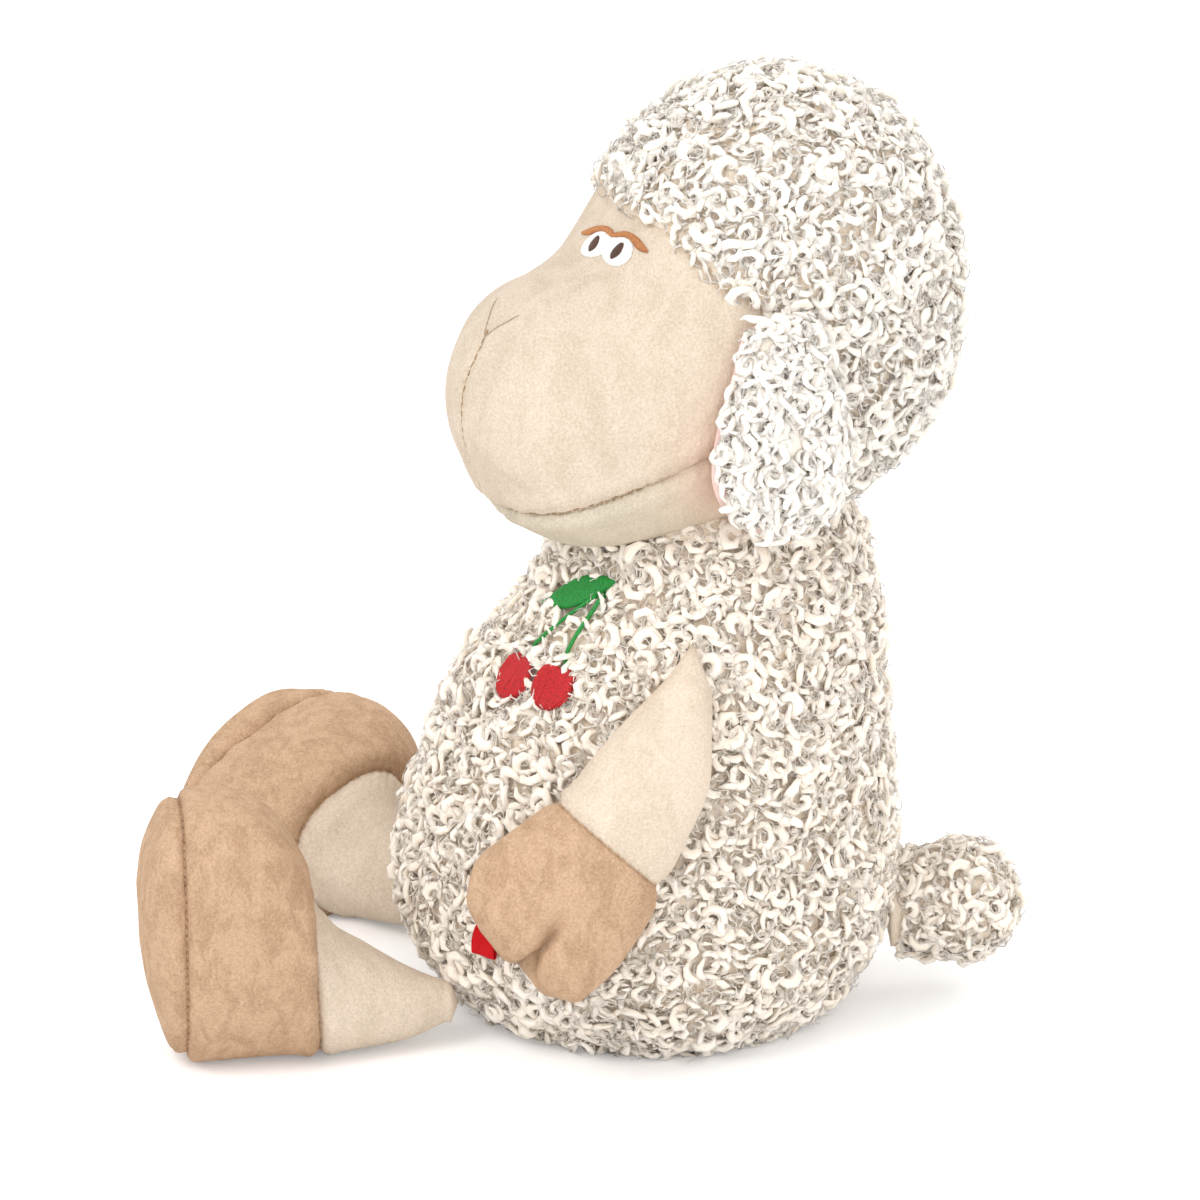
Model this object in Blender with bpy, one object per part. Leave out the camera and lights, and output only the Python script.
"""A seated plush sheep: a pear-shaped woolly body, a turned head with a long velour muzzle, hanging ears,
flat arms with cloven hooves, cone-shaped legs with upright hoof feet, and a stub tail.
Lengths are in metres, +Z is up, the sheep faces -Y and its left side is +X.
The origin is the centre of the flat seat, on the floor."""

import math

import bmesh
import bpy
import numpy as np
from mathutils import Matrix, Vector

# Cloth and seams
cover_wall = 0.0025
seat_gap = 0.0003
stitch_rise = 0.0012

# Body, a stack of round sections that lean back as they rise
body_radius = 0.0875
shoulder_height = 0.150
body_lean = 0.020
pellet_bag_height = 0.030
pellet_bag_clearance = 0.009
neck_opening_share = 0.945
neck_part_share = 0.30
shoulder_blend_share = 0.08
filling_start_share = 0.20
body_row_shares = (0.03, 0.07, 0.12, 0.18, 0.25, 0.33, 0.42, 0.50, 0.58, 0.64, 0.70, 0.73, 0.80, 0.87)
body_profile_shares = (
    # height up to the shoulder, radius, lean
    (0.0, 0.66, 0.0),
    (0.08, 0.82, -0.05),
    (0.18, 0.93, -0.10),
    (0.327, 1.0, -0.15),
    (0.60, 0.932, 0.05),
    (0.80, 0.85, 0.30),
    (0.893, 0.785, 0.50),
    (1.0, 0.70, 0.78),
)

# Neck, a ball that the head turns and nods on
neck_ball_radius = 0.056
neck_rise = 0.005
neck_ball_start = math.radians(84)
neck_filling_wall = 0.0025
neck_filling_spread = math.radians(54)
neck_filling_rows = 7

# Head, sections along a line from the back of the hood to the muzzle
head_turn = math.radians(20)
head_length = 0.1815
head_height = 0.160
head_half_width = 0.0605
head_base_rise = 0.025
head_overhang = 0.0865
head_roundness = 2.25
head_tip_share = 0.012
hood_row_shares = (0.0, 0.07, 0.18, 0.32, 0.46, 0.60, 0.74, 0.88, 1.0)
face_row_shares = (0.0, 0.15, 0.30, 0.45, 0.60, 0.73, 0.83, 0.90, 0.95, 1.0)
head_section_shares = (
    # along the head, top, bottom, half width
    (0.0, 0.55, 0.55, 0.0),
    (0.019, 0.675, 0.425, 0.33),
    (0.063, 0.806, 0.275, 0.595),
    (0.14, 0.9125, 0.144, 0.81),
    (0.245, 0.981, 0.0625, 0.942),
    (0.328, 1.0, 0.031, 0.983),
    (0.438, 0.981, 0.019, 1.0),
    (0.548, 0.9125, 0.006, 0.983),
    (0.631, 0.806, 0.0, 0.942),
    (0.713, 0.675, 0.0, 0.884),
    (0.796, 0.6125, 0.0125, 0.826),
    (0.857, 0.59, 0.044, 0.777),
    (0.906, 0.556, 0.0875, 0.694),
    (0.945, 0.50, 0.1375, 0.579),
    (0.975, 0.4375, 0.20, 0.43),
    (0.993, 0.384, 0.2625, 0.248),
    (1.0, 0.325, 0.325, 0.0),
)
hood_edge_shares = (
    # turn from the crown to the chin, place along the head
    (0.0, 0.70),
    (0.15, 0.66),
    (0.35, 0.575),
    (0.44, 0.49),
    (0.60, 0.42),
    (0.78, 0.37),
    (1.0, 0.355),
)
mouth_seam_start_share = 0.90
mouth_seam_front_share = 0.13
mouth_seam_slope = math.radians(23)

# Ears
ear_length = 0.073
ear_width = 0.043
ear_thickness = 0.011
ear_lining_wall = 0.0025
ear_lining_share = 0.93
ear_root_share = 0.48
ear_root_height_share = 0.575
ear_crown_shares = (
    # size of the outline, height
    (1.0, 0.0),
    (1.0, 0.35),
    (0.90, 0.72),
    (0.62, 0.94),
)
ear_outline_shares = (
    # across the ear, down the ear
    (-0.20, 0.0),
    (0.20, 0.0),
    (0.33, 0.20),
    (0.46, 0.45),
    (0.52, 0.68),
    (0.43, 0.88),
    (0.20, 0.985),
    (-0.08, 1.0),
    (-0.33, 0.91),
    (-0.48, 0.72),
    (-0.45, 0.48),
    (-0.33, 0.22),
)

# Arms, flat forms that hang beside the body from a ball-shaped root
arm_root_radius = 0.0085
arm_length = 0.127
arm_half_thickness = 0.0125
arm_half_width = 0.031
arm_tilt = math.radians(12)
arm_roundness = 2.2
arm_root_slope = math.radians(20)
arm_full_share = 0.3
arm_cleft_share = 0.3
shoulder_gap = 0.00035
shoulder_lean = 0.013
arm_inner_share = 0.10
arm_section_shares = (
    # forward and down in lengths of the arm, half width, half thickness, slope in degrees, cleft
    (0.025, 0.075, 0.27, 0.70, 15, 0.0),
    (0.055, 0.15, 0.40, 0.76, 23, 0.0),
    (0.102, 0.256, 0.60, 0.86, 24, 0.0),
    (0.145, 0.33, 0.68, 0.92, 22, 0.0),
    (0.19, 0.40, 0.715, 0.96, 24, 0.0),
    (0.254, 0.50, 0.76, 1.0, 41, 0.0),
    (0.339, 0.594, 0.935, 1.0, 33, 0.10),
    (0.421, 0.691, 1.0, 0.93, 38, 0.28),
    (0.476, 0.775, 0.885, 0.75, 40, 0.45),
    (0.497, 0.82, 0.75, 0.42, 43, 0.50),
)
arm_notch_shares = (0.47, 0.768)
arm_seam_row = 5

# Legs, cones that widen to an upright hoof foot
leg_root_radius = 0.009
leg_reach = 0.1095
foot_height = 0.099
foot_half_width = 0.031
leg_roundness = 2.5
hip_spread = 0.046
hip_height_share = 0.125
hip_skin_share = 0.15
hip_gap = 0.0008
leg_yaws = {"left": math.radians(5), "right": math.radians(50)}
foot_rolls = {"left": 0.0, "right": math.radians(72)}
leg_section_shares = (
    # along the leg, centre height, half height, half width
    (0.11, 0.160, 0.126, 0.40),
    (0.255, 0.200, 0.182, 0.58),
    (0.395, 0.258, 0.2475, 0.76),
    (0.447, 0.353, 0.343, 0.87),
    (0.54, 0.450, 0.440, 0.95),
    (0.667, 0.495, 0.490, 1.0),
    (0.785, 0.503, 0.500, 0.985),
    (0.858, 0.500, 0.480, 0.94),
    (0.922, 0.515, 0.404, 0.82),
    (0.968, 0.545, 0.263, 0.58),
    (1.0, 0.565, 0.0, 0.0),
)
ankle_seam_share = 0.42
sole_seam_share = 0.86

# Tail
tail_root_radius = 0.011
tail_reach = 0.038
tail_radius = 0.0195
tail_height_share = 0.22
tail_gap = 0.0005
tail_rise = math.radians(3)
tail_section_shares = (
    # along the tail, radius
    (0.20, 0.80),
    (0.45, 1.0),
    (0.68, 0.93),
    (0.86, 0.66),
    (0.96, 0.36),
    (1.0, 0.0),
)

# Embroidery and tag
face_pile = 0.0008
eye_white_width = 0.0115
eye_white_height = 0.0115
eye_white_spacing = 0.0070
pupil_width = 0.0024
pupil_height = 0.0062
pupil_spacing = 0.0062
eyelid_width = 0.0125
eyelid_height = 0.0032
eyelid_spacing = 0.0075
eyelid_gap = 0.0006
eye_line_share = 0.732
nose_width = 0.012
nose_height = 0.006
nose_line_share = 0.935
nose_dip_share = 0.32
chest_pile = 0.0005
cherry_radius = 0.0085
cherry_spacing = 0.0215
cherry_share = 0.93
chest_motif_turn = math.radians(38)
leaf_length = 0.021
leaf_width = 0.010
leaf_rise = 0.020
leaf_taper = 2.5
leaf_tilt = math.radians(60)
stem_length = 0.011
stem_rise = 0.0105
stem_width = 0.0022
tag_width = 0.010
tag_height = 0.011
tag_wall = 0.0008
tag_share = 0.36

# Rows and columns of the faceted surfaces
columns = 24
small_columns = 16
cutter_columns = 48
stitch_columns = 10
leaf_columns = 8
root_row_angles = (math.radians(30), math.radians(60), math.radians(90))
stitch_row_shares = (0.5, 1.0)
least_inset_share = 0.15
probe_step = 1e-4

# Sizes that follow from the ones above
shoulder_part_share = 1 - neck_part_share
neck_height = shoulder_height + neck_rise
hip_height = hip_height_share * shoulder_height
lining_depth = cover_wall + seat_gap
filling_depth = cover_wall + 2 * seat_gap
half_seam_share = 0.5 * seat_gap / head_length
arm_root_heading = (math.sin(arm_root_slope), math.cos(arm_root_slope))

colours = {
    "wool": (0.83, 0.77, 0.69),
    "velour": (0.86, 0.76, 0.62),
    "chin": (0.75, 0.66, 0.50),
    "sleeve": (0.87, 0.79, 0.60),
    "hoof": (0.60, 0.41, 0.25),
    "lining": (0.87, 0.62, 0.58),
    "filling": (0.90, 0.90, 0.90),
    "pellets": (0.80, 0.80, 0.76),
    "base": (0.72, 0.66, 0.58),
    "eye_white": (0.92, 0.91, 0.88),
    "pupil": (0.10, 0.02, 0.005),
    "eyelid": (0.50, 0.20, 0.06),
    "nose": (0.35, 0.27, 0.20),
    "cherry": (0.50, 0.005, 0.01),
    "leaf": (0.005, 0.22, 0.03),
    "tag": (0.55, 0.0, 0.005),
}


def clear_scene():
    for obj in list(bpy.data.objects):
        bpy.data.objects.remove(obj, do_unlink=True)


def material(name):
    """One cloth finish, made the first time that a piece asks for it."""
    found = bpy.data.materials.get(name)
    if found:
        return found
    made = bpy.data.materials.new(name)
    made.use_nodes = True
    shader = made.node_tree.nodes["Principled BSDF"]
    shader.inputs["Base Color"].default_value = (*colours[name], 1)
    shader.inputs["Roughness"].default_value = 0.95
    shader.inputs["Metallic"].default_value = 0
    return made


def pivot(name, location, turn=Matrix.Identity(3), parent=None):
    """An empty on a joint's axis, which carries the pieces that move about it."""
    empty = bpy.data.objects.new(name, None)
    bpy.context.scene.collection.objects.link(empty)
    empty.parent = parent
    empty.matrix_local = Matrix.Translation(Vector(location)) @ turn.to_4x4()
    return empty


def smooth(table, share):
    """Each column of the table at this share of its first column, on curves through its rows."""
    rows = np.array(table, float)
    knots, values = rows[:, 0], rows[:, 1:]
    place = min(max(share, knots[0]), knots[-1])
    k = min(int(np.searchsorted(knots, place, side="right")) - 1, len(knots) - 2)
    span = knots[k + 1] - knots[k]
    x = (place - knots[k]) / span
    before, after = max(k - 1, 0), min(k + 2, len(knots) - 1)
    leave = (values[k + 1] - values[before]) / (knots[k + 1] - knots[before]) * span
    arrive = (values[after] - values[k]) / (knots[after] - knots[k]) * span
    start, end = 2 * x**3 - 3 * x**2 + 1, 3 * x**2 - 2 * x**3
    return start * values[k] + (x**3 - 2 * x**2 + x) * leave + end * values[k + 1] + (x**3 - x**2) * arrive


def oval(turn, roundness):
    """A point of a rounded oval of half sizes 1, counted from its top towards +X."""
    x, y = math.sin(turn), math.cos(turn)
    power = 2 / roundness
    return math.copysign(abs(x) ** power, x), math.copysign(abs(y) ** power, y)


def normal(form, along, turn):
    """The way out of the form's surface at one of its points."""
    step = probe_step
    near, far = max(along - step, 0), min(along + step, 1)
    run = form(far, turn) - form(near, turn)
    round_it = form(along, turn + step) - form(along, turn - step)
    out = np.cross(run, round_it)
    outward = form(along, turn) - form(along, turn + math.pi)
    return out * math.copysign(1, np.dot(out, outward)) / max(np.linalg.norm(out), 1e-12)


def ring(form, along, turns, depth=0.0):
    """One closed row of points, sunk into the form by depth. along is a share or a function of the turn."""
    points = []
    for turn in turns:
        place = along(turn) if callable(along) else along
        points.append(form(place, turn) - depth * normal(form, place, turn))
    return points


def even_turns(count):
    return [math.tau * k / count for k in range(count)]


def split_quad(mesh, corners, middle):
    """Two triangles that bulge away from the middle, so that parallel surfaces are split alike."""
    a, b, c, d = corners
    if ((a.co + c.co) / 2 - middle).length >= ((b.co + d.co) / 2 - middle).length:
        faces = ((a, b, c), (a, c, d))
    else:
        faces = ((a, b, d), (b, c, d))
    for face in faces:
        mesh.faces.new(face)


def skin(name, rings, colour, parent=None, first=None, last=None, smooth_shaded=True):
    """Closed rows of points joined in order. With no end points, the last row joins the first."""
    mesh = bmesh.new()
    rows = [[mesh.verts.new(point) for point in row] for row in rings]
    count = len(rows[0])
    pairs = list(zip(rows, rows[1:]))
    if first is None:
        pairs.append((rows[-1], rows[0]))
    for low, high in pairs:
        middle = Vector(centre_of([vert.co for vert in low + high]))
        for k in range(count):
            n = (k + 1) % count
            split_quad(mesh, (low[k], low[n], high[n], high[k]), middle)
    if first is not None:
        for row, point in ((rows[0], first), (rows[-1], last)):
            tip = mesh.verts.new(point)
            for k in range(count):
                mesh.faces.new((row[k], row[(k + 1) % count], tip))
    bmesh.ops.recalc_face_normals(mesh, faces=mesh.faces)
    data = bpy.data.meshes.new(name)
    mesh.to_mesh(data)
    mesh.free()
    if smooth_shaded:
        data.shade_smooth()
    data.materials.append(material(colour))
    obj = bpy.data.objects.new(name, data)
    bpy.context.scene.collection.objects.link(obj)
    obj.parent = parent
    return obj


def centre_of(points):
    return np.mean(points, axis=0)


def cup(name, form, alongs, pole, turns, colour, parent=None, wall=cover_wall):
    """A cloth cover, closed round the form's end at pole and open at its last row."""
    outer = [ring(form, along, turns) for along in alongs]
    inner = [ring(form, along, turns, wall) for along in reversed(alongs)]
    tip = form(pole, 0)
    inward = centre_of(outer[-1]) - tip
    inner_tip = tip + wall * inward / np.linalg.norm(inward)
    return skin(name, outer + inner, colour, parent, tip, inner_tip)


def cutter(obj, parent):
    """Marks an object as a cutting tool, which isn't a piece of the sheep."""
    obj.hide_render = True
    obj.display_type = "WIRE"
    obj.parent = parent
    return obj


def cut(piece, tool, operation="DIFFERENCE"):
    modifier = piece.modifiers.new(tool.name, "BOOLEAN")
    modifier.operation = operation
    modifier.object = tool


def clear_radius(radius, count, row_step):
    """The radius that a faceted ball needs so that its flats clear a ball of the given radius."""
    return (radius + seat_gap) / (math.cos(math.pi / count) * math.cos(row_step / 2))


def ball_rings(radius, start, end, rows, turns):
    """Rows of a ball about the vertical, from one angle off its top to another."""
    rings = []
    for k in range(rows + 1):
        lean = start + (end - start) * k / rows
        across, height = radius * math.sin(lean), radius * math.cos(lean)
        rings.append([np.array((across * math.sin(turn), across * math.cos(turn), height)) for turn in turns])
    return rings


def neck_section(share):
    """Radius, height and place back of the rounded top of the body, from the shoulder to the neck's top."""
    angle = neck_ball_start * (1 - share)
    rise = neck_ball_radius * math.cos(angle)
    ball = np.array((neck_ball_radius * math.sin(angle), neck_height + rise, body_lean))
    if share >= shoulder_blend_share:
        return ball
    radius, lean = smooth(body_profile_shares, 1)
    edge = np.array((radius * body_radius, shoulder_height, lean * body_lean))
    return edge + (ball - edge) * share / shoulder_blend_share


def body_form(along, turn):
    """The body, from the edge of the seat to the top of the neck ball."""
    if along <= shoulder_part_share:
        radius, lean = smooth(body_profile_shares, along / shoulder_part_share)
        radius, back = radius * body_radius, lean * body_lean
        height = shoulder_height * along / shoulder_part_share
    else:
        radius, height, back = neck_section((along - shoulder_part_share) / neck_part_share)
    return np.array((radius * math.sin(turn), back - radius * math.cos(turn), height))


def level_ring(height, inset):
    """A level circle inside the body at a height under the shoulder."""
    radius, lean = smooth(body_profile_shares, height / shoulder_height)
    size = radius * body_radius - inset
    back = lean * body_lean
    turns = even_turns(columns)
    return [np.array((size * math.sin(turn), back - size * math.cos(turn), height)) for turn in turns]


def make_body():
    turns = even_turns(columns)
    rows = (*body_row_shares, neck_opening_share)
    body = pivot("body_frame", (0, 0, 0))
    outer = [level_ring(0, 0)] + [ring(body_form, along, turns) for along in rows]
    inner = [level_ring(0, cover_wall)] + [ring(body_form, along, turns, cover_wall) for along in rows]
    skin("body_cover", outer + inner[::-1], "wool", body)

    seat = level_ring(0, lining_depth)
    lid = [point + np.array((0, 0, cover_wall)) for point in seat]
    skin("base_panel", [seat, lid], "base", body, centre_of(seat), centre_of(lid))

    bag_top = lining_depth + pellet_bag_height
    bag = [level_ring(height, pellet_bag_clearance) for height in (lining_depth, bag_top / 2, bag_top)]
    skin("pellet_bag", bag, "pellets", body, centre_of(bag[0]), centre_of(bag[-1]))

    filling_bottom = bag_top + seat_gap
    filling = [level_ring(filling_bottom, 2 * lining_depth)]
    filling += [ring(body_form, along, turns, lining_depth) for along in rows if along > filling_start_share]
    skin("body_filling", filling, "filling", body, centre_of(filling[0]), centre_of(filling[-1]))
    return body


def neck_dish_inside():
    """The inner radius of the neck's dish of stuffing."""
    return clear_radius(neck_ball_radius, columns, neck_filling_spread / neck_filling_rows)


def make_neck(body):
    """A dish of stuffing round the neck ball, which turns with the head."""
    turns = even_turns(columns)
    neck = pivot("neck_pivot", (0, body_lean, neck_height), Matrix.Rotation(head_turn, 3, "Z"), body)
    inside = neck_dish_inside()
    first_lean = neck_filling_spread / neck_filling_rows
    rows = neck_filling_rows
    inner = ball_rings(inside, first_lean, neck_filling_spread, rows, turns)
    outer = ball_rings(inside + neck_filling_wall, first_lean, neck_filling_spread, rows, turns)
    top = np.array((0, 0, inside))
    skin("neck_filling", inner + outer[::-1], "filling", neck, top, top + np.array((0, 0, neck_filling_wall)))
    return neck


def head_form(along, turn):
    """The head in the neck's frame, from the back of the hood to the tip of the muzzle."""
    top, bottom, half_width = smooth(head_section_shares, along)
    across, up = oval(turn, head_roundness)
    middle = head_base_rise + head_height * (top + bottom) / 2
    return np.array((
        head_half_width * max(half_width, 0) * across,
        head_overhang - head_length * along,
        middle + head_height * max(top - bottom, 0) / 2 * up,
    ))


def hood_edge(turn):
    """Where the hood ends along the head, at each turn round it."""
    side = abs((turn + math.pi) % math.tau - math.pi) / math.pi
    return float(smooth(hood_edge_shares, side)[0])


def hood_end(turn):
    """The hood's edge, half a seam back from where it meets the face."""
    return hood_edge(turn) - half_seam_share


def face_start(turn):
    """The face's edge, half a seam in front of where it meets the hood."""
    return hood_edge(turn) + half_seam_share


def between(low, high, share):
    """A row between two places along the head, which may each change with the turn."""
    def place(turn):
        start = low(turn) if callable(low) else low
        end = high(turn) if callable(high) else high
        return start + (end - start) * share
    return place


def make_neck_tool(head):
    """A ball that clears the neck's dish, to cut the head's pieces with."""
    rows = cutter_columns // 2
    step = math.pi / rows
    reach = clear_radius(neck_dish_inside() + neck_filling_wall, cutter_columns, step)
    ball = ball_rings(reach, step, math.pi - step, rows - 2, even_turns(cutter_columns))
    top = np.array((0, 0, reach))
    return cutter(skin("neck_tool", ball, "filling", None, top, -top), head)


def make_mouth_tool(name, lift, head):
    """A block whose sloping top follows the mouth seam, from the muzzle up towards the ears."""
    start = head_form(mouth_seam_start_share, math.pi)[1]
    front = np.array((0, start, head_base_rise + mouth_seam_front_share * head_height + lift))
    slope = mouth_seam_slope
    run = head_length * np.array((0, math.cos(slope), math.sin(slope)))
    drop = head_height * np.array((0, math.sin(slope), -math.cos(slope)))
    near, far = front - run / 4, front + run
    sides = []
    for side in (-1, 1):
        across = np.array((2 * side * head_half_width, 0, 0))
        sides.append([corner + across for corner in (near, far, far + drop, near + drop)])
    return cutter(skin(name, sides, "filling", None, centre_of(sides[0]), centre_of(sides[1]), False), head)


def make_head(neck):
    """The woolly hood, the face above the mouth seam, the chin below it and the filling inside them."""
    turns = even_turns(columns)
    head = pivot("head_pivot", (0, 0, 0), parent=neck)
    hood_rows = [between(head_tip_share, hood_end, share) for share in hood_row_shares]
    face_rows = [between(face_start, 1 - head_tip_share, share) for share in face_row_shares]
    hood = cup("hood_cover", head_form, hood_rows, 0.0, turns, "wool", head)
    face = cup("face_panel", head_form, face_rows[::-1], 1.0, turns, "velour", head)
    chin = cup("chin_panel", head_form, face_rows[::-1], 1.0, turns, "chin", head)
    stuffing = [ring(head_form, row, turns, lining_depth) for row in hood_rows + face_rows[1:]]
    inward = np.array((0, lining_depth, 0))
    back, front = head_form(0, 0) - inward, head_form(1, 0) + inward
    filling = skin("head_filling", stuffing, "filling", head, back, front)

    cut(face, make_mouth_tool("mouth_tool", seat_gap / 2, head))
    cut(chin, make_mouth_tool("chin_tool", -seat_gap / 2, head), "INTERSECT")
    neck_tool = make_neck_tool(head)
    for piece in (hood, face, chin, filling):
        cut(piece, neck_tool)
    return head


def flat_form(name, outline, low, high, levels, colour, parent):
    """A flap from a flat back at low to a front at high. Levels give its size at shares of its height."""
    middle = centre_of(outline)
    rise = np.array(high) - np.array(low)
    rings = [[middle + size * (point - middle) + np.array(low) + lift * rise for point in outline]
             for size, lift in levels]
    return skin(name, rings, colour, parent, middle + np.array(low), middle + np.array(high))


def make_ears(head):
    """Each ear hangs from its top inner edge beside the hood."""
    for side_name, side in (("left", 1), ("right", -1)):
        root = np.array((side * (head_half_width + seat_gap), head_overhang - ear_root_share * head_length,
                         head_base_rise + ear_root_height_share * head_height))
        hinge = pivot(f"ear_pivot_{side_name}", root, parent=head)
        outline = [np.array((0, across * ear_width, -down * ear_length))
                   for across, down in ear_outline_shares]
        middle = centre_of(outline)
        lining = [middle + ear_lining_share * (point - middle) for point in outline]
        lining_top = np.array((side * ear_lining_wall, 0, 0))
        flat_form(f"ear_lining_{side_name}", lining, (0, 0, 0), lining_top, ((1, 0), (1, 1)), "lining", hinge)
        back = lining_top + np.array((side * seat_gap, 0, 0))
        front = back + np.array((side * ear_thickness, 0, 0))
        flat_form(f"ear_{side_name}", outline, back, front, ear_crown_shares, "wool", hinge)


def root_rings(radius, heading, turns, across, up):
    """The back half of a ball-shaped root, from its tip to its widest row."""
    rings = []
    for lean in root_row_angles:
        centre = -radius * math.cos(lean) * heading
        rings.append([centre + radius * math.sin(lean) * (math.sin(turn) * across + math.cos(turn) * up)
                      for turn in turns])
    return rings


def limb(rings, depth):
    """The rings of a limb sunk by depth towards their centres, which keeps neighbours parallel."""
    sunk = []
    for row in rings:
        middle = centre_of(row)
        spread = np.array(row) - middle
        axes = np.linalg.svd(spread, full_matrices=False)[2][:2]
        local = spread @ axes.T
        reach = np.abs(local).max(axis=0)
        local *= np.maximum(reach - depth, reach * least_inset_share) / reach
        sunk.append([middle + point for point in local @ axes])
    return sunk


def arm_row(section, out, turns):
    """One section of an arm, as the table's row gives it."""
    ahead, below, width, thickness, slope, cleft = section
    forward, down = np.array((0, -1, 0)), np.array((0, 0, -1))
    half = arm_half_thickness * thickness
    lift = min(1, below / arm_full_share) * (half - arm_inner_share * arm_root_radius)
    middle = arm_length * (ahead * forward + below * down) + lift * out
    angle = math.radians(slope)
    along_section = arm_half_width * width * (math.cos(angle) * forward - math.sin(angle) * down)
    row = []
    for turn in turns:
        across, up = oval(turn, arm_roundness)
        pinch = 1 - cleft * math.exp(-((across / arm_cleft_share) ** 2))
        row.append(middle + across * along_section + half * pinch * up * out)
    return row


def arm_rings(side, turns):
    """Sections of an arm in the shoulder's frame: out is +X, -Y is forward."""
    out = np.array((side, 0, 0))
    ahead, below = arm_root_heading
    heading, across = np.array((0, -ahead, -below)), np.array((0, -below, ahead))
    rings = root_rings(arm_root_radius, heading, turns, across, out)
    rings += [arm_row(section, out, turns) for section in arm_section_shares]
    ahead, below = arm_notch_shares
    tip = arm_length * np.array((0, -ahead, -below))
    tip = tip + (arm_half_thickness * arm_section_shares[-1][3] - arm_inner_share * arm_root_radius) * out
    return rings, -arm_root_radius * heading, tip


def shell_of(name, rings, colour, parent):
    """A cloth tube, open at both ends."""
    return skin(name, rings + limb(rings, cover_wall)[::-1], colour, parent)


def seam_row(low, high, share):
    """A row between two rows."""
    return [a + (b - a) * share for a, b in zip(low, high)]


def make_arms(body):
    turns = even_turns(small_columns)
    shoulder = max(body_radius * body_profile_shares[-1][1], neck_ball_radius)
    reach = shoulder + arm_root_radius + shoulder_gap
    seam = len(root_row_angles) + arm_seam_row
    for side_name, side in (("left", 1), ("right", -1)):
        tilt = Matrix.Rotation(-side * arm_tilt, 3, "Y")
        place = (side * reach, shoulder_lean, shoulder_height + arm_root_radius / 2)
        shoulder = pivot(f"arm_pivot_{side_name}", place, tilt, body)
        rings, root_tip, tip = arm_rings(side, turns)
        gap = seat_gap / np.linalg.norm(centre_of(rings[seam + 1]) - centre_of(rings[seam]))
        sleeve = rings[:seam + 1]
        inner = limb(sleeve[2:], cover_wall)
        ends = root_tip, centre_of(inner[0])
        skin(f"arm_sleeve_{side_name}", sleeve + inner[::-1], "sleeve", shoulder, *ends)
        hoof = [seam_row(rings[seam], rings[seam + 1], gap)] + rings[seam + 1:]
        inner = limb(hoof[:-1], cover_wall)
        skin(f"arm_hoof_{side_name}", hoof[::-1] + inner, "hoof", shoulder, tip, centre_of(inner[-1]))
        stuffing = limb(sleeve[4:] + hoof[1:-2], filling_depth)
        ends = centre_of(stuffing[0]), centre_of(stuffing[-1])
        skin(f"arm_filling_{side_name}", stuffing, "filling", shoulder, *ends)


def leg_rings(roll, turns):
    """Sections of a leg in the hip's frame: -Y is forward, the floor is hip height under the hip."""
    forward = np.array((0, -1, 0))
    rings = root_rings(leg_root_radius, forward, turns, np.array((1, 0, 0)), np.array((0, 0, 1)))
    for along, centre, half_height, half_width in leg_section_shares[:-1]:
        tall, wide = half_height * foot_height, half_width * foot_half_width
        share = min(1, along / ankle_seam_share)
        lean = roll * share
        rolled = math.hypot(tall * math.cos(lean), wide * math.sin(lean))
        middle = leg_reach * along * forward
        middle = middle + np.array((0, 0, centre * foot_height - tall + rolled - hip_height))
        row = []
        for turn in turns:
            across, up = oval(turn, 2 + (leg_roundness - 2) * share)
            x = wide * across * math.cos(lean) + tall * up * math.sin(lean)
            z = tall * up * math.cos(lean) - wide * across * math.sin(lean)
            point = middle + np.array((x, 0, z))
            point[2] = max(point[2], -hip_height)
            row.append(point)
        rings.append(row)
    along, centre = leg_section_shares[-1][:2]
    tip = leg_reach * along * forward + np.array((0, 0, centre_of(rings[-1])[2]))
    return rings, tip


def row_at(rings, position):
    """The row where the limb is at a distance along its -Y."""
    for low, high in zip(rings, rings[1:]):
        start, end = -centre_of(low)[1], -centre_of(high)[1]
        if start <= position <= end:
            return seam_row(low, high, (position - start) / (end - start))
    return rings[-1]


def rows_within(rings, start, end):
    """The rows whose place along the limb is between two distances."""
    return [row for row in rings if start < -centre_of(row)[1] < end]


def leg_place(side):
    """Where a hip is, in front of the body's skin."""
    radius, lean = smooth(body_profile_shares, hip_skin_share)
    skin_front = math.sqrt((radius * body_radius) ** 2 - hip_spread**2) - lean * body_lean
    return side * hip_spread, -skin_front - leg_root_radius - hip_gap, hip_height


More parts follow.
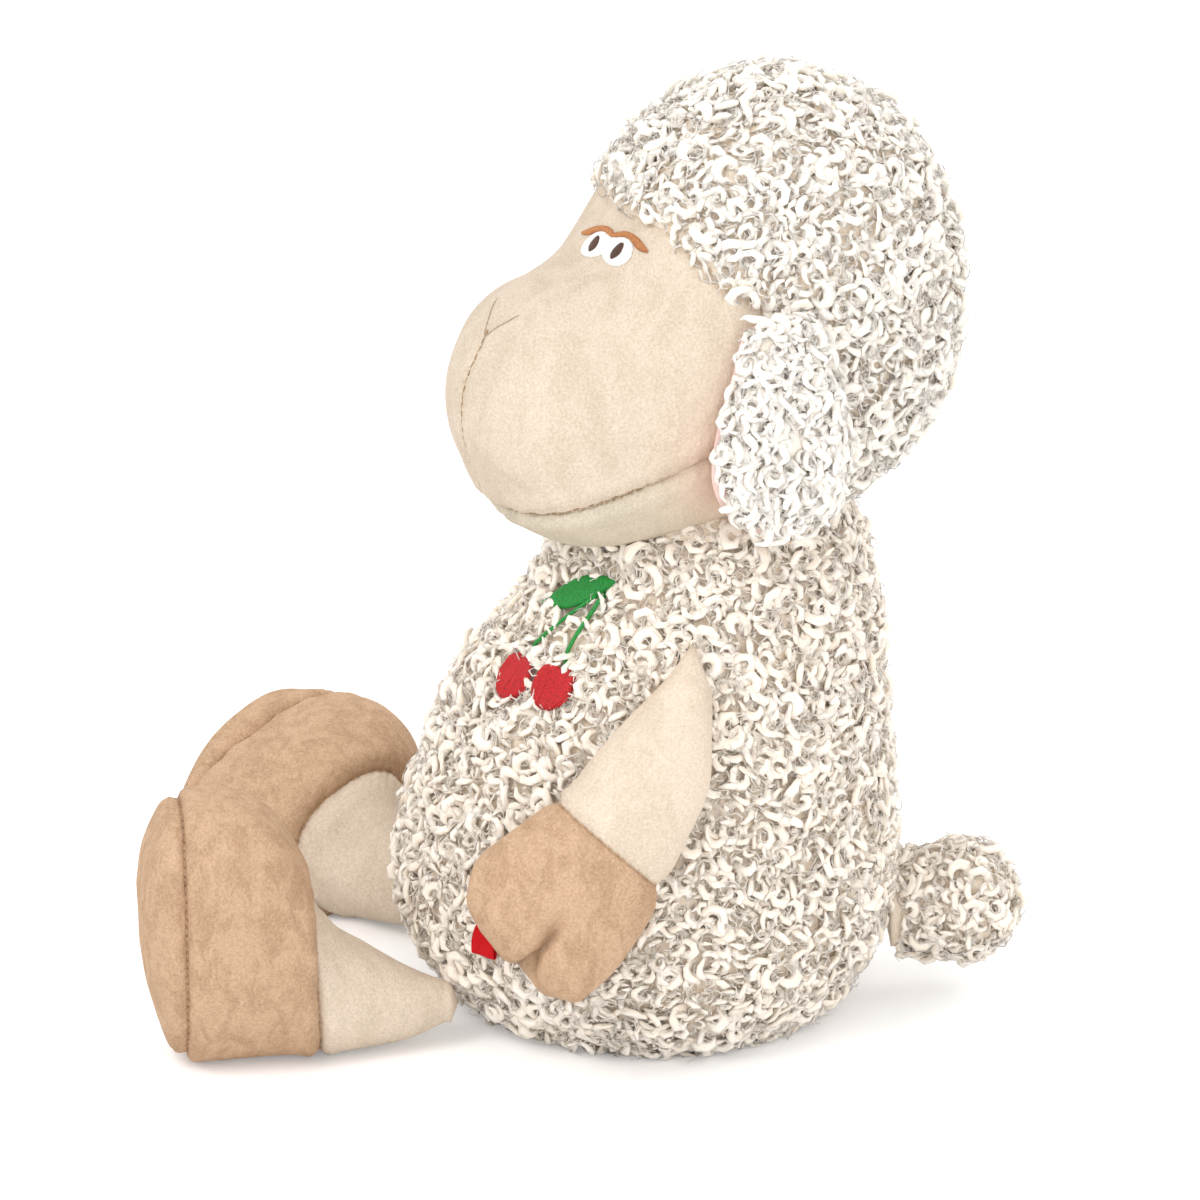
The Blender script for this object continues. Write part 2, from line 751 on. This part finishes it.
def make_legs(body):
    turns = even_turns(small_columns)
    ankle, sole_seam = ankle_seam_share * leg_reach, sole_seam_share * leg_reach
    for side_name, side in (("left", 1), ("right", -1)):
        yaw = Matrix.Rotation(side * leg_yaws[side_name], 3, "Z")
        hip = pivot(f"leg_pivot_{side_name}", leg_place(side), yaw, body)
        rings, tip = leg_rings(side * foot_rolls[side_name], turns)
        sleeve = rows_within(rings, -leg_root_radius, ankle - seat_gap) + [row_at(rings, ankle)]
        inner = limb(sleeve[len(root_row_angles):], cover_wall)
        root_tip = np.array((0, leg_root_radius, 0))
        skin(f"leg_sleeve_{side_name}", sleeve + inner[::-1], "sleeve", hip, root_tip, centre_of(inner[0]))
        hoof = [row_at(rings, ankle + seat_gap)]
        hoof += rows_within(rings, ankle + 2 * seat_gap, sole_seam - seat_gap) + [row_at(rings, sole_seam)]
        shell_of(f"leg_hoof_{side_name}", hoof, "hoof", hip)
        sole = [row_at(rings, sole_seam + seat_gap)] + rows_within(rings, sole_seam + 2 * seat_gap, leg_reach)
        inner = limb(sole[:-1], cover_wall)
        skin(f"leg_sole_{side_name}", sole[::-1] + inner, "hoof", hip, tip, centre_of(inner[-1]))
        stuffing = limb(sleeve[4:] + hoof[1:] + sole[1:-2], filling_depth)
        ends = centre_of(stuffing[0]), centre_of(stuffing[-1])
        skin(f"leg_filling_{side_name}", stuffing, "filling", hip, *ends)


def make_tail(body):
    turns = even_turns(small_columns)
    height = tail_height_share * shoulder_height
    radius, lean = smooth(body_profile_shares, tail_height_share)
    back = radius * body_radius + lean * body_lean + tail_root_radius + tail_gap
    root = pivot("tail_pivot", (0, back, height), Matrix.Rotation(tail_rise, 3, "X"), body)
    heading, across, up = np.array((0, 1, 0)), np.array((1, 0, 0)), np.array((0, 0, 1))
    rings = root_rings(tail_root_radius, heading, turns, across, up)
    for along, size in tail_section_shares[:-1]:
        middle = tail_reach * along * heading
        rings.append([middle + tail_radius * size * (math.sin(turn) * across + math.cos(turn) * up)
                      for turn in turns])
    tip = tail_reach * heading
    inner = limb(rings[1:-1], cover_wall)
    skin("tail_cover", rings[::-1] + inner, "wool", root, tip, centre_of(inner[-1]))
    stuffing = limb(rings[2:-2], filling_depth)
    skin("tail_filling", stuffing, "filling", root, centre_of(stuffing[0]), centre_of(stuffing[-1]))


def disc_outline(width, height, count=stitch_columns, power=1.0):
    """Points of an oval, narrower at its top where power is over 1."""
    points = []
    for k in range(count):
        turn = math.tau * k / count
        taper = 1 if math.cos(turn) < 0 else abs(math.cos(turn / 2)) ** (power - 1)
        points.append((width / 2 * math.sin(turn) * taper, height / 2 * math.cos(turn)))
    return points


def applique(name, form, along, turn, outline, colour, parent, rise=stitch_rise, tilt=0.0, lift=0.0):
    """Raised stitching or a cloth patch that follows the form. The outline is across and up, in lengths."""
    step = probe_step
    run = np.linalg.norm(form(along + step, turn) - form(along - step, turn)) / (2 * step)
    round_it = np.linalg.norm(form(along, turn + step) - form(along, turn - step)) / (2 * step)
    layers = {}
    for depth in (lift + seat_gap, lift + seat_gap + rise):
        rows = []
        for size in stitch_row_shares:
            row = []
            for across, up in outline:
                x = size * (across * math.cos(tilt) - up * math.sin(tilt))
                y = size * (across * math.sin(tilt) + up * math.cos(tilt))
                place = (along + y / run, turn + x / round_it)
                row.append(form(*place) + depth * normal(form, *place))
            rows.append(row)
        layers[depth] = (rows, form(along, turn) + depth * normal(form, along, turn))
    (low, low_point), (high, high_point) = layers.values()
    return skin(name, low + high[::-1], colour, parent, low_point, high_point)


def make_face(head):
    """Embroidered eyes on the bridge of the muzzle, and the nose at its tip."""
    white = disc_outline(eye_white_width, eye_white_height)
    pupil = disc_outline(pupil_width, pupil_height)
    lid = disc_outline(eyelid_width, eyelid_height)
    lid_share = eye_line_share - ((eye_white_height + eyelid_height) / 2 + eyelid_gap) / head_length
    pupil_lift = face_pile + stitch_rise + seat_gap
    for side_name, side in (("left", 1), ("right", -1)):
        across = side / head_half_width
        for name, outline, along, spacing, lift in (
            ("eye_white", white, eye_line_share, eye_white_spacing, face_pile),
            ("pupil", pupil, eye_line_share, pupil_spacing, pupil_lift),
            ("eyelid", lid, lid_share, eyelid_spacing, face_pile),
        ):
            place = across * spacing
            applique(f"{name}_{side_name}", head_form, along, place, outline, name, head, lift=lift)
    half_width, half_height = nose_width / 2, nose_height / 2
    dip = (0, nose_height * nose_dip_share)
    nose = [(0, -half_height), (half_width, half_height), dip, (-half_width, half_height)]
    applique("nose_stitch", head_form, nose_line_share, 0.0, nose, "nose", head, lift=face_pile / 2)


def oblong(width, height):
    """The corners of an upright oblong, counted round it."""
    x, y = width / 2, height / 2
    return [(-x, -y), (x, -y), (x, y), (-x, y)]


def make_chest_motif(body):
    """Two cherries on a stem under a leaf, and a small tag in the side of the belly."""
    berry_share = shoulder_part_share * cherry_share
    rise_share = shoulder_part_share / shoulder_height
    berry = disc_outline(2 * cherry_radius, 2 * cherry_radius)
    for side_name, side in (("left", 1), ("right", -1)):
        turn = chest_motif_turn + side * cherry_spacing / 2 / body_radius
        applique(f"cherry_{side_name}", body_form, berry_share, turn, berry, "cherry", body, lift=chest_pile)
    leaf = disc_outline(leaf_width, leaf_length, leaf_columns, leaf_taper)
    leaf_share, stem_share = (berry_share + rise * rise_share for rise in (leaf_rise, stem_rise))
    applique("cherry_leaf", body_form, leaf_share, chest_motif_turn, leaf, "leaf", body,
             tilt=leaf_tilt, lift=chest_pile)
    stem = oblong(stem_width, stem_length)
    applique("cherry_stem", body_form, stem_share, chest_motif_turn, stem, "leaf", body, lift=chest_pile)
    tag = oblong(tag_width, tag_height)
    tag_place = shoulder_part_share * tag_share
    applique("side_tag", body_form, tag_place, chest_motif_turn, tag, "tag", body, rise=tag_wall)


clear_scene()
body = make_body()
neck = make_neck(body)
head = make_head(neck)
make_ears(head)
make_arms(body)
make_legs(body)
make_tail(body)
make_face(head)
make_chest_motif(body)
